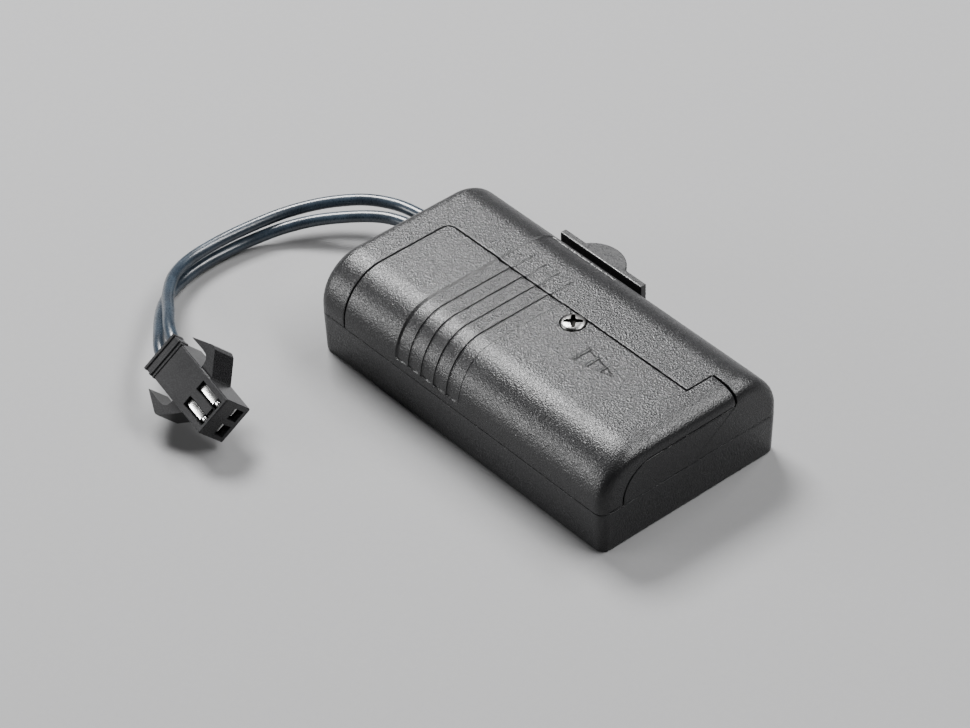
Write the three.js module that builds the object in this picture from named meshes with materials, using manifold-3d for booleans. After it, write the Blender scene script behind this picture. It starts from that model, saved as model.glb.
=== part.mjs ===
// Two-cell battery box with a screw-locked sliding cover, a belt clip and a two-wire plug lead.
// Millimetres. X runs along the box (+X is the way the cover slides), Y across it, +Z is up.
import * as THREE from 'three';
import { mergeVertices } from 'three/addons/utils/BufferGeometryUtils.js';
import Module from 'manifold-3d';

const wasm = await Module();
wasm.setup();

// ---- driving dimensions ----
const BOX_LENGTH = 53;
const BOX_WIDTH = 28.8;
const BOX_HEIGHT = 13.4;
const SEAM_HEIGHT = 6.1;
const SHOULDER_RADIUS = 6.4;
const CABLE_END_ROUND = 2;
const COVER_END_SIDE_ROUND = 1.4;
const COVER_END_TOP_RUN = 4.1;
const COVER_END_TOP_DROP = 2.2;
const FOOT_CHAMFER = 0.35;
const SIDE_WALL = 1.3;
const TOP_WALL = 1.1;
const FLOOR = 1.2;
const GAP = 0.3;

const CELL_RADIUS = 5.25;
const CELL_LENGTH = 44.5;
const CELL_Y = 7.5;
const CELL_Z = FLOOR + GAP + CELL_RADIUS;
const PLATE = 0.3;

const COVER_START = -21.1;
const COVER_EDGE = 3;
const TAB_START = 22.4;
const TAB_EDGE = 7.2;
const LIP_HEIGHT = 11.2;
const PANEL_EDGE = -11.1;
const PANEL_ROUND = 4.6;

const GROOVE_FIRST = -11.8;
const GROOVE_PITCH = 2.38;
const GROOVE_COUNT = 6;
const GROOVE_WIDTH = 0.4;
const GROOVE_DEPTH = 0.25;
const GROOVE_FOOT = 7.8;
const SHORT_RIB_END = 6.5;

const SCREW = { x: 3.9, y: 1.4, headRadius: 1.6, headHeight: 1.05, shankRadius: 0.85, seat: 12.2, tip: 9.3 };
const CLIP = { middle: -5.9, length: 15, thickness: 0.95, top: 10.3, foot: 0.6, tabReach: 2, tabLength: 7.4 };
const CLIP_INNER = BOX_WIDTH / 2 + 0.25;
const CLIP_OUTER = CLIP_INNER + CLIP.thickness;
const CLIP_REACH = CLIP_OUTER + CLIP.tabReach - BOX_WIDTH / 2;

const WIRE_RADIUS = 0.8;
const WIRE_Z = 4.4;
const WIRE_1_Y = 8.8;
const WIRE_2_Y = 6.95;
const PLUG = {
  position: [-28.9, -37.4, 7.9], yaw: -7, pitch: 7.5, roll: 42.5,
  length: 10.7, width: 5.5, height: 4.85, flange: 2.2, pitchWidth: 2.5,
};

// Everything but the wires and the plug is drawn about the middle of the box, then shifted so
// that the origin is under the middle of box and clip together.
const BOX_SHIFT = -CLIP_REACH / 2;

const HALF_L = BOX_LENGTH / 2;
const HALF_W = BOX_WIDTH / 2;
const INNER_END = HALF_L - SIDE_WALL;

// ---- materials ----
const blackPlastic = () => new THREE.MeshStandardMaterial({ color: 0x1b1b1c, roughness: 0.5, metalness: 0 });
const steel = () => new THREE.MeshStandardMaterial({ color: 0xb9bbbd, roughness: 0.3, metalness: 1 });
const tin = () => new THREE.MeshStandardMaterial({ color: 0xd9dadb, roughness: 0.35, metalness: 1 });
const wireSkin = () => new THREE.MeshStandardMaterial({ color: 0x10161c, roughness: 0.25, metalness: 0 });
const cellJacket = () => new THREE.MeshStandardMaterial({ color: 0x39424d, roughness: 0.35, metalness: 0.2 });

// ---- solids and booleans ----
function toManifold(geometry) {
  const bare = geometry.clone();
  bare.deleteAttribute('normal');
  bare.deleteAttribute('uv');
  const merged = mergeVertices(bare, 1e-5);
  const mesh = new wasm.Mesh({
    numProp: 3,
    vertProperties: new Float32Array(merged.attributes.position.array),
    triVerts: new Uint32Array(merged.index.array),
  });
  mesh.merge();
  return new wasm.Manifold(mesh);
}

function toGeometry(manifold) {
  const mesh = manifold.getMesh();
  const geometry = new THREE.BufferGeometry();
  geometry.setAttribute('position', new THREE.BufferAttribute(mesh.vertProperties, 3));
  geometry.setIndex(new THREE.BufferAttribute(mesh.triVerts, 1));
  geometry.computeVertexNormals();
  return geometry;
}

function box(x0, x1, y0, y1, z0, z1) {
  const geometry = new THREE.BoxGeometry(x1 - x0, y1 - y0, z1 - z0);
  geometry.translate((x0 + x1) / 2, (y0 + y1) / 2, (z0 + z1) / 2);
  return toManifold(geometry);
}

function uprightCylinder(radius, z0, z1, x, y, sides = 24) {
  const geometry = new THREE.CylinderGeometry(radius, radius, z1 - z0, sides);
  geometry.rotateX(Math.PI / 2);
  geometry.translate(x, y, (z0 + z1) / 2);
  return toManifold(geometry);
}

function lengthwiseCylinder(radius, x0, x1, y, z, sides = 20) {
  const geometry = new THREE.CylinderGeometry(radius, radius, x1 - x0, sides);
  geometry.rotateZ(Math.PI / 2);
  geometry.translate((x0 + x1) / 2, y, z);
  return toManifold(geometry);
}

function crosswiseCylinder(radius, y0, y1, x, z, sides = 16) {
  const geometry = new THREE.CylinderGeometry(radius, radius, y1 - y0, sides);
  geometry.translate(x, (y0 + y1) / 2, z);
  return toManifold(geometry);
}

// A plan outline pushed up from z0 to z1.
function planPrism(outline, z0, z1) {
  const geometry = new THREE.ExtrudeGeometry(outline, { depth: z1 - z0, bevelEnabled: false, curveSegments: 8 });
  geometry.translate(0, 0, z0);
  return toManifold(geometry);
}

// An outline in Y and Z pushed along X from x0 to x1.
function endPrism(outline, x0, x1) {
  const geometry = new THREE.ExtrudeGeometry(outline, { depth: x1 - x0, bevelEnabled: false, curveSegments: 8 });
  geometry.applyMatrix4(new THREE.Matrix4().makeBasis(
    new THREE.Vector3(0, 1, 0), new THREE.Vector3(0, 0, 1), new THREE.Vector3(1, 0, 0)));
  geometry.translate(x0, 0, 0);
  return toManifold(geometry);
}

// A closed skin over convex rings of points, all with the same count.
function loft(rings) {
  const count = rings[0].length;
  const positions = rings.flat(2);
  const index = [];
  for (let r = 0; r + 1 < rings.length; r += 1) {
    for (let i = 0; i < count; i += 1) {
      const j = (i + 1) % count;
      const a = r * count + i;
      const b = r * count + j;
      index.push(a, b, a + count, b, b + count, a + count);
    }
  }
  const last = (rings.length - 1) * count;
  for (let i = 1; i + 1 < count; i += 1) {
    index.push(0, i + 1, i, last, last + i, last + i + 1);
  }
  const geometry = new THREE.BufferGeometry();
  geometry.setAttribute('position', new THREE.Float32BufferAttribute(positions, 3));
  geometry.setIndex(index);
  return toManifold(geometry);
}

// ---- the shape of the box ----
// Cross-section of the box: flat top, two big round shoulders, straight sides, small foot chamfer.
function sectionRing(x, sideInset, topInset, radius, bottom, chamfer) {
  const half = HALF_W - sideInset;
  const top = BOX_HEIGHT - topInset;
  const ring = [];
  const arcSteps = 10;
  for (const side of [1, -1]) {
    for (let i = 0; i <= arcSteps; i += 1) {
      const angle = (side > 0 ? i : arcSteps - i) / arcSteps * Math.PI / 2;
      ring.push([x, side * (half - radius + radius * Math.cos(angle)), top - radius + radius * Math.sin(angle)]);
    }
    if (side < 0) {
      ring.push([x, -half, bottom + chamfer], [x, -half + chamfer, bottom]);
      ring.push([x, half - chamfer, bottom], [x, half, bottom + chamfer]);
    }
  }
  return ring;
}

function roundInset(distance, run, drop) {
  const reach = Math.min(Math.max(distance / run, 0), 1);
  return drop * (1 - Math.sqrt(1 - reach * reach));
}

function caseBlock(shrink) {
  const stops = [];
  for (const part of [1, 0.97, 0.87, 0.7, 0.5, 0.25, 0]) {
    stops.push(-HALF_L + CABLE_END_ROUND * (1 - part));
  }
  for (const part of [0, 0.2, 0.4, 0.55, 0.7, 0.82, 0.92, 0.98, 1]) {
    stops.push(HALF_L - COVER_END_TOP_RUN * (1 - part));
  }
  const rings = stops.map((x) => {
    const cable = roundInset(-HALF_L + CABLE_END_ROUND - x, CABLE_END_ROUND, CABLE_END_ROUND);
    const side = roundInset(x - (HALF_L - COVER_END_SIDE_ROUND), COVER_END_SIDE_ROUND, COVER_END_SIDE_ROUND);
    const top = roundInset(x - (HALF_L - COVER_END_TOP_RUN), COVER_END_TOP_RUN, COVER_END_TOP_DROP);
    const radius = SHOULDER_RADIUS - Math.max(cable, top) - shrink / 2;
    return sectionRing(x, cable + side + shrink, cable + top + shrink, radius, 0, FOOT_CHAMFER);
  });
  return loft(rings);
}

const CAVITY_RADIUS = SHOULDER_RADIUS - 1.2;
const cavity = loft([-INNER_END, INNER_END].map((x) => (
  sectionRing(x, SIDE_WALL, TOP_WALL, CAVITY_RADIUS, FLOOR, 0.3))));

const block = caseBlock(0);
const shellHalf = block.intersect(box(-40, 40, -20, 20, SEAM_HEIGHT + GAP / 2, 20)).subtract(cavity);

// ---- sliding cover and the fixed shell around it ----
// Plan of the opening that the cover fills: a long strip with a tab at the end it slides towards.
function coverPlan(margin) {
  const start = COVER_START - margin;
  const edge = COVER_EDGE + margin;
  const round = 1.3;
  const plan = new THREE.Shape();
  plan.moveTo(start, -20);
  plan.lineTo(start, edge - round);
  plan.absarc(start + round, edge - round, round, Math.PI, Math.PI / 2, true);
  plan.lineTo(TAB_START - margin, edge);
  plan.lineTo(TAB_START - margin, TAB_EDGE + margin);
  plan.lineTo(40, TAB_EDGE + margin);
  plan.lineTo(40, -20);
  plan.closePath();
  return planPrism(plan, 0, 20);
}

// The fixed panel that closes the cover's end of the box, under the cover's lip.
function endPanel(margin) {
  const left = PANEL_EDGE - margin;
  const top = LIP_HEIGHT + margin;
  const panel = new THREE.Shape();
  panel.moveTo(left, 0);
  panel.lineTo(left, top - PANEL_ROUND);
  panel.absarc(left + PANEL_ROUND, top - PANEL_ROUND, PANEL_ROUND, Math.PI, Math.PI / 2, true);
  panel.lineTo(HALF_W + 5, top);
  panel.lineTo(HALF_W + 5, 0);
  panel.closePath();
  return endPrism(panel, INNER_END - 2, HALF_L + 2);
}

// Shallow lines across the cover and the shell, cut to one depth all over.
function gripLines(yEnd) {
  const deep = caseBlock(GROOVE_DEPTH);
  let cutters = null;
  for (let i = 0; i < GROOVE_COUNT; i += 1) {
    const x = GROOVE_FIRST + i * GROOVE_PITCH;
    const outer = i === 0 || i === GROOVE_COUNT - 1;
    const slab = box(x - GROOVE_WIDTH / 2, x + GROOVE_WIDTH / 2, -20, outer ? yEnd + 3 : yEnd, GROOVE_FOOT, 20);
    cutters = cutters ? cutters.add(slab) : slab;
  }
  return cutters.subtract(deep);
}

function topShell() {
  const opened = shellHalf.subtract(coverPlan(GAP / 2).subtract(endPanel(-GAP / 2)));
  return opened.subtract(gripLines(SHORT_RIB_END));
}

function slidingCover() {
  const skin = shellHalf.intersect(coverPlan(-GAP / 2)).subtract(endPanel(GAP / 2));
  const underside = BOX_HEIGHT - TOP_WALL;
  const railTop = underside - GAP;
  const railBottom = LIP_HEIGHT + 0.15;
  const web = box(-19, 21, 1.6, COVER_EDGE - GAP / 2, railBottom, underside + 0.2);
  const rail = box(-19, 21, 1.6, COVER_EDGE + 1.4, railBottom, railTop);
  const noseWeb = box(COVER_START + GAP / 2, -18.4, -3.4, 2.2, railBottom, underside + 0.2);
  const nose = box(COVER_START - 1.7, -18.4, -3.4, 2.2, railBottom, railTop);
  const pad = uprightCylinder(2.4, railBottom, underside + 0.2, SCREW.x, SCREW.y)
    .intersect(box(-40, 40, -20, COVER_EDGE - GAP / 2, 0, 20));
  const seatHole = uprightCylinder(SCREW.headRadius + 0.2, SCREW.seat, 20, SCREW.x, SCREW.y);
  const shankHole = uprightCylinder(SCREW.shankRadius + 0.25, 0, 20, SCREW.x, SCREW.y);
  return skin.add(web).add(rail).add(noseWeb).add(nose).add(pad)
    .subtract(seatHole).subtract(shankHole).subtract(gripLines(COVER_EDGE));
}

// ---- bottom tray; its screw post is open on the side the cover slides to ----
function bottomTray() {
  const lower = block.intersect(box(-40, 40, -20, 20, 0, SEAM_HEIGHT - GAP / 2)).subtract(cavity);
  const postTop = LIP_HEIGHT - 0.6;
  const post = uprightCylinder(1.95, FLOOR - 0.2, postTop, SCREW.x, SCREW.y);
  const bore = uprightCylinder(SCREW.shankRadius + 0.25, 9, 20, SCREW.x, SCREW.y);
  const slot = box(SCREW.x, SCREW.x + 5, SCREW.y - 1.1, SCREW.y + 1.1, 9, 20);
  const wireHoles = [WIRE_1_Y, WIRE_2_Y].map((y) => (
    lengthwiseCylinder(WIRE_RADIUS + 0.25, -HALF_L - 2, -INNER_END + 1, y, WIRE_Z)));
  const rib = (x) => box(x - 0.5, x + 0.5, -1.2, 1.2, FLOOR - 0.2, 5);
  const cellRoom = [-CELL_Y, CELL_Y].map((y) => (
    lengthwiseCylinder(CELL_RADIUS + GAP, -INNER_END + 1, INNER_END - 1, y, CELL_Z + 0.02, 40)));
  const clipRoot = box(CLIP.middle - 6, CLIP.middle + 6, HALF_W - 0.6, CLIP_OUTER - 0.1, 0.02, 0.3);
  return lower.add(post.subtract(cellRoom[0]).subtract(cellRoom[1])).add(rib(-14)).add(rib(14)).add(clipRoot)
    .subtract(bore).subtract(slot).subtract(wireHoles[0]).subtract(wireHoles[1]);
}

// Pan-head screw with a cross recess.
function coverScrew() {
  const { x, y, headRadius, headHeight, shankRadius, seat, tip } = SCREW;
  const profile = [
    [0, tip], [0.35, tip], [shankRadius, tip + 0.6], [shankRadius, seat], [headRadius, seat],
    [headRadius, seat + headHeight * 0.5], [headRadius * 0.8, seat + headHeight * 0.88], [0, seat + headHeight],
  ].map(([r, z]) => new THREE.Vector2(r, z));
  const turned = new THREE.LatheGeometry(profile, 24);
  turned.rotateX(Math.PI / 2);
  turned.translate(x, y, 0);
  const crossDepth = seat + headHeight * 0.4;
  const cross = box(x - 0.95, x + 0.95, y - 0.22, y + 0.22, crossDepth, 20)
    .add(box(x - 0.22, x + 0.22, y - 0.95, y + 0.95, crossDepth, 20));
  return toManifold(turned).subtract(cross);
}

// Flat leaf with a half-moon thumb tab along its free top edge.
function beltClip() {
  const { middle, length, top, foot, tabReach, tabLength, thickness } = CLIP;
  const leaf = box(middle - length / 2, middle + length / 2, CLIP_INNER, CLIP_OUTER, foot, top);
  const tab = new THREE.Shape();
  const radius = (tabLength * tabLength / 4 + tabReach * tabReach) / (2 * tabReach);
  const spread = Math.asin(tabLength / 2 / radius);
  tab.moveTo(middle - tabLength / 2, CLIP_OUTER - thickness / 2);
  tab.absarc(middle, CLIP_OUTER + tabReach - radius, radius, Math.PI / 2 + spread, Math.PI / 2 - spread, true);
  tab.lineTo(middle + tabLength / 2, CLIP_OUTER - thickness / 2);
  tab.closePath();
  return leaf.add(planPrism(tab, top - thickness, top));
}

// ---- cells and contacts ----
function batteryCell(direction) {
  const nub = 0.9;
  const profile = [
    [0, 0], [4.6, 0], [CELL_RADIUS, 0.5], [CELL_RADIUS, CELL_LENGTH - nub - 0.5],
    [4.7, CELL_LENGTH - nub], [1.9, CELL_LENGTH - nub], [1.9, CELL_LENGTH], [0, CELL_LENGTH],
  ].map(([r, z]) => new THREE.Vector2(r, z));
  const geometry = new THREE.LatheGeometry(profile, 28);
  geometry.rotateZ(direction > 0 ? -Math.PI / 2 : Math.PI / 2);
  return geometry;
}

class Helix extends THREE.Curve {
  constructor(turns, length, startRadius, endRadius) {
    super();
    Object.assign(this, { turns, length, startRadius, endRadius });
  }

  getPoint(t, target = new THREE.Vector3()) {
    const angle = t * this.turns * Math.PI * 2;
    const radius = this.startRadius + (this.endRadius - this.startRadius) * t;
    return target.set(t * this.length, radius * Math.cos(angle), radius * Math.sin(angle));
  }
}

function roundSection(radius, sides) {
  const section = new THREE.Shape();
  for (let i = 0; i < sides; i += 1) {
    const angle = i / sides * Math.PI * 2;
    if (i === 0) section.moveTo(radius, 0);
    else section.lineTo(radius * Math.cos(angle), radius * Math.sin(angle));
  }
  section.closePath();
  return section;
}

function tube(curve, radius, sides, steps) {
  return new THREE.ExtrudeGeometry(roundSection(radius, sides), { steps, extrudePath: curve, bevelEnabled: false });
}

const CELL_END = INNER_END - 0.7;
const PLATE_X = -CELL_END + 1.3;
const SPRING_LENGTH = CELL_END - 0.3 - (PLATE_X + PLATE + GAP + CELL_LENGTH) - GAP;

function contactSpring() {
  return tube(new Helix(2.6, SPRING_LENGTH - 0.6, 3.2, 2), 0.25, 6, 48);
}

// Stamped plate of the wire end: a square with a narrow foot that slots into the tray.
function wireEndPlate(y) {
  return box(PLATE_X, PLATE_X + PLATE, y - 4.2, y + 4.2, 2.2, 10.6)
    .add(box(PLATE_X, PLATE_X + PLATE, y - 1.5, y + 1.5, FLOOR + GAP, 3));
}

// The two cells are joined in series by one plate across the far end.
function bridgePlate() {
  const x = CELL_END - 0.3;
  return box(x, x + PLATE, -12.2, 12.2, 2.4, 10.2).subtract(box(x - 1, x + 1, -2.2, 2.2, 6.4, 20));
}

// ---- wires ----
// Each wire runs from its hole round to the back of the plug; the points are in the part's own frame.
const WIRE_1_ROUTE = [
  [-25.3, 7.2, 4.4], [-28, 7.2, 4.4], [-31, 7.15, 4.5], [-34.2, 6.8, 4.55], [-37.5, 6, 4.5], [-40.9, 4.1, 4.35],
  [-43.6, 1.5, 4], [-45.7, -1.6, 3.65], [-47.4, -5.5, 3.25], [-48.4, -10.4, 2.95], [-48.7, -15, 2.85],
  [-48.1, -19.8, 3.05], [-46.1, -23.8, 3.7], [-42.4, -27.4, 4.9], [-38.3, -30.3, 6.3], [-35.3, -32.45, 7.2],
  [-32.95, -33.8, 7.5], [-31.2, -34.5, 7.35],
];
const WIRE_2_ROUTE = [
  [-25.3, 5.35, 4.4], [-28, 5.3, 4.4], [-31, 5, 4.4], [-34.7, 4.3, 4.3], [-37.5, 3, 4.1], [-40.4, 0.6, 3.7],
  [-43.6, -2.6, 2.95], [-46.2, -6.1, 1.95], [-47.9, -10.7, 1.15], [-48.4, -15.2, 0.9], [-48, -19.3, 0.95],
  [-46.9, -22.6, 1.2], [-45.2, -25.5, 1.9], [-43, -27.9, 2.9], [-40.2, -30.4, 4], [-37.1, -32.8, 5],
  [-34.15, -34.95, 5.7], [-31.6, -36.3, 5.65],
];

function leadWire(route) {
  const curve = new THREE.CatmullRomCurve3(route.map((p) => new THREE.Vector3(...p)), false, 'centripetal');
  return tube(curve, WIRE_RADIUS, 8, 72);
}

// The second wire goes on inside the box, behind the first cell's plate, to the other contact.
function innerLead() {
  const x = -INNER_END + 1;
  return crosswiseCylinder(0.6, -6, WIRE_2_Y - WIRE_RADIUS - 0.4, x, WIRE_Z, 12);
}

function solderJoint(y) {
  const geometry = new THREE.SphereGeometry(0.55, 12, 8);
  geometry.translate(PLATE_X - 0.9, y, WIRE_Z);
  return geometry;
}

// ---- plug ----
const TERMINAL_OFFSETS = [-PLUG.pitchWidth / 2, PLUG.pitchWidth / 2];
const CHANNEL = { half: 0.85, top: -0.9, bottom: -4.05 };

// Side barb: root on the body, elbow out wide, point back towards the wires.
function plugBarb(side) {
  const half = PLUG.width / 2;
  const barb = new THREE.Shape();
  barb.moveTo(6.3, side * (half - 0.3));
  barb.lineTo(3.9, side * (half + 2.8));
  barb.lineTo(3.3, side * (half + 2.9));
  barb.lineTo(0.1, side * (half + 1.5));
  barb.lineTo(2.9, side * (half + 1.75));
  barb.lineTo(3.3, side * (half - 0.3));
  barb.closePath();
  return planPrism(barb, -4.4, -0.4);
}

function plugHousing() {
  const { length, width, height, flange } = PLUG;
  const half = width / 2;
  let body = box(-flange + 0.5, length, -half, half, -height, 0);
  body = body.add(box(-flange, -flange + 0.7, -half - 0.1, half + 0.1, -height - 0.1, 0.15));
  body = body.add(box(-0.9, -0.3, -half - 0.1, half + 0.1, -height - 0.1, 0.15));
  body = body.add(plugBarb(1)).add(plugBarb(-1));
  for (const y of TERMINAL_OFFSETS) {
    const { half: reach, top, bottom } = CHANNEL;
    body = body.subtract(box(-5, length - 0.9, y - reach, y + reach, bottom, top));
    body = body.subtract(box(length - 2, length + 1, y - reach, y + reach, bottom, bottom + 1.7));
    body = body.subtract(box(5.7, 9.6, y - reach, y + reach, top - 0.5, 1));
  }
  return body;
}

function crimpTerminal(y) {
  const mating = box(5, 9.3, y - 0.6, y + 0.6, -3.8, -1.2);
  const crimp = box(-0.2, 5.1, y - 0.5, y + 0.5, -3.4, -2);
  const socket = box(6.4, 10, y - 0.32, y + 0.32, -3.4, -2.7);
  return mating.add(crimp).subtract(socket);
}

// ---- assembly ----
function named(name, shape, material, offset = [0, 0, 0]) {
  const geometry = shape instanceof THREE.BufferGeometry ? shape : toGeometry(shape);
  const mesh = new THREE.Mesh(geometry, material);
  mesh.name = name;
  mesh.position.set(...offset);
  return mesh;
}

const springRest = PLATE_X + PLATE + GAP + 0.25;
const boxGroup = new THREE.Group();
boxGroup.position.set(0, BOX_SHIFT, 0);
boxGroup.add(
  named('bottom_tray', bottomTray(), blackPlastic()),
  named('top_shell', topShell(), blackPlastic()),
  named('sliding_cover', slidingCover(), blackPlastic()),
  named('cover_screw', coverScrew(), steel()),
  named('belt_clip', beltClip(), blackPlastic()),
  named('battery_cell_1', batteryCell(1), cellJacket(), [CELL_END - 0.6 - CELL_LENGTH, -CELL_Y, CELL_Z]),
  named('battery_cell_2', batteryCell(-1), cellJacket(), [PLATE_X + PLATE + GAP + CELL_LENGTH, CELL_Y, CELL_Z]),
  named('negative_plate', wireEndPlate(-CELL_Y), tin()),
  named('positive_plate', wireEndPlate(CELL_Y), tin()),
  named('bridge_plate', bridgePlate(), tin()),
  named('negative_spring', contactSpring(), steel(), [springRest, -CELL_Y, CELL_Z]),
  named('bridge_spring', contactSpring(), steel(), [CELL_END - 0.6 - SPRING_LENGTH + 0.35, CELL_Y, CELL_Z]),
  named('inner_lead', innerLead(), wireSkin()),
  named('solder_joint_1', solderJoint(WIRE_1_Y), tin()),
  named('solder_joint_2', solderJoint(-7.2), tin()),
);

const plugGroup = new THREE.Group();
plugGroup.position.set(...PLUG.position);
plugGroup.rotation.set(
  THREE.MathUtils.degToRad(PLUG.roll), THREE.MathUtils.degToRad(PLUG.pitch), THREE.MathUtils.degToRad(PLUG.yaw), 'ZYX');
plugGroup.add(
  named('plug_housing', plugHousing(), blackPlastic()),
  named('crimp_terminal_1', crimpTerminal(TERMINAL_OFFSETS[1]), tin()),
  named('crimp_terminal_2', crimpTerminal(TERMINAL_OFFSETS[0]), tin()),
);

const batteryBox = new THREE.Group();
batteryBox.add(
  boxGroup,
  plugGroup,
  named('lead_wire_1', leadWire(WIRE_1_ROUTE), wireSkin()),
  named('lead_wire_2', leadWire(WIRE_2_ROUTE), wireSkin()),
);

export default batteryBox;
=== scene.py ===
"""Looks for the battery box: its smooth shells, wires, plug, screw, cells and their materials."""
import math

import bmesh
import bpy
from mathutils import Euler, Matrix, Vector


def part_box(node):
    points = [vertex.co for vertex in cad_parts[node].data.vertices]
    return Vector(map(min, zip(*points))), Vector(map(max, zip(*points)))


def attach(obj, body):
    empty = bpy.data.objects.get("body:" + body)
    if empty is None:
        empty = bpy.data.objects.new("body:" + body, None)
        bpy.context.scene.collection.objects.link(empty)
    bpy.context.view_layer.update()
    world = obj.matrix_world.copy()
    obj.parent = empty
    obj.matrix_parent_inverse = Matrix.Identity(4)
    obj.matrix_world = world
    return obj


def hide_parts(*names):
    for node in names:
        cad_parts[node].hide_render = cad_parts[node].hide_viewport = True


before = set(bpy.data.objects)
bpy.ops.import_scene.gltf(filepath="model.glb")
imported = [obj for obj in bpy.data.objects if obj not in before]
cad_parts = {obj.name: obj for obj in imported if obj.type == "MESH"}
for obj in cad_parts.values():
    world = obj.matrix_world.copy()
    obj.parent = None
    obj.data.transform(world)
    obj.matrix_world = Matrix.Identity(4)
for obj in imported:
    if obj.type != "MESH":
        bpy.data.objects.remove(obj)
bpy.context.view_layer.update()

MM = 0.001

# ---- driving dimensions, in millimetres, about the middle of the box ----
BOX_LENGTH = 53.0
BOX_WIDTH = 28.8
BOX_HEIGHT = 13.4
SEAM_HEIGHT = 6.1
SHOULDER = 6.4
CABLE_ROUND = 2.0
END_SIDE_ROUND = 1.4
END_TOP_RUN = 4.1
END_TOP_DROP = 1.95
END_FULLNESS = 2.5
LIP_HEIGHT = 11.2
LIP_SIDE = 11.05
LIP_ROUND = 4.7
WALL = 1.1
TRAY_WALL = 1.3
TRAY_FLOOR = 1.2
TRAY_DRAFT = 0.2
COVER_GAP = 0.2
SEAM_GAP = 0.06
TAB_GAP = 0.3
EDGE_ROUND = 0.1

COVER_START = -21.1
COVER_EDGE = 3.0
COVER_CORNER = 1.3
TAB_START = 22.4
TAB_EDGE = 7.2
FLAT_START = 1.7

GRIP_FIRST = -11.8
GRIP_PITCH = 2.38
GRIP_LINES = 6
GRIP_DEPTH = 0.22
GRIP_FOOT_ANGLE = 4.0
GRIP_SWEEP = 0.55
GRIP_SHOULDER_ANGLE = 54.0
GRIP_LEAD = 0.03
GRIP_RAMP = 0.3
GRIP_EDGE = 0.06
GRIP_SHELL_DEPTH = 0.12
GRIP_REST = 0.04
RIB_END = 6.0
RIB_DEPTH = 0.03

ARROW_MIDDLE = -1.82
ARROW_STEPS = ((8.7, 1.5, 10.75, 1.04), (10.65, 1.17, 12.6, 0.7), (12.5, 0.7, 14.2, 0.28))
ARROW_TIP = 14.7
ARROW_TIP_LENGTH = 0.7
ARROW_RIM_LENGTH = 0.7
ARROW_RIM_RISE = 0.19
ARROW_BODY_START = 0.4
ARROW_BODY_WIDTH = 0.86
ARROW_BODY_RISE = 0.07
ARROW_TIP_RISE = 0.14

SCREW_X = 3.9
SCREW_Y = 1.4
SCREW_SEAT = 12.7
SCREW_HEAD = 1.6
SCREW_HEAD_RISE = 1.05
SCREW_HOLE = SCREW_HEAD + 0.14
SCREW_TIP = 9.3
THREAD_START = 9.9
THREAD_PITCH = 0.42
THREAD_TURNS = 5
THREAD_CORE = 0.72
THREAD_CREST = 0.86
CROSS_REACH = 1.2
CROSS_DEPTH = 0.7
CROSS_TURN = 47

RAIL_LOW = 11.35
RAIL_START = -19
RAIL_END = 21
NOSE_END = -18.4
NOSE_SIDES = (-3.4, 2.2)

WIRE_HEIGHT = 4.4
WIRE_HOLES = (8.8, 6.95)
WIRE_HOLE_RADIUS = 1.02

HALF_L = BOX_LENGTH / 2
HALF_W = BOX_WIDTH / 2

# The box is drawn about its own middle; the frame's origin is under box and clip together.
shell_low, shell_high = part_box("top_shell")
BOX_SHIFT = (shell_low[1] + shell_high[1]) / 2 / MM


# ---- camera: a long lens, so the far side of the box hardly shrinks ----
CAMERA_AZIMUTH = 50.26
CAMERA_ELEVATION = 40.14
CAMERA_ROLL = -1.68
CAMERA_PLACE = (283.7, -246.9, 321.7)
CAMERA_LENS = 148.1
CAMERA_SENSOR = 36
CAMERA_NEAR = 0.01


def make_camera():
    """Aims the camera by azimuth and elevation, then rolls it about its own axis."""
    azimuth = math.radians(CAMERA_AZIMUTH)
    elevation = math.radians(CAMERA_ELEVATION)
    level = math.cos(elevation)
    back = Vector((math.sin(azimuth) * level, -math.cos(azimuth) * level, math.sin(elevation)))
    right = Vector((math.cos(azimuth), math.sin(azimuth), 0))
    up = back.cross(right)
    roll = Matrix.Rotation(math.radians(CAMERA_ROLL), 4, "Z")
    turn = Matrix((right, up, back)).transposed().to_4x4() @ roll
    camera = bpy.data.objects.new("camera", bpy.data.cameras.new("camera"))
    camera.data.lens = CAMERA_LENS
    camera.data.sensor_width = CAMERA_SENSOR
    camera.data.clip_start = CAMERA_NEAR
    camera.matrix_world = Matrix.Translation(Vector(CAMERA_PLACE) * MM) @ turn
    bpy.context.collection.objects.link(camera)
    bpy.context.scene.camera = camera


make_camera()


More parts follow.
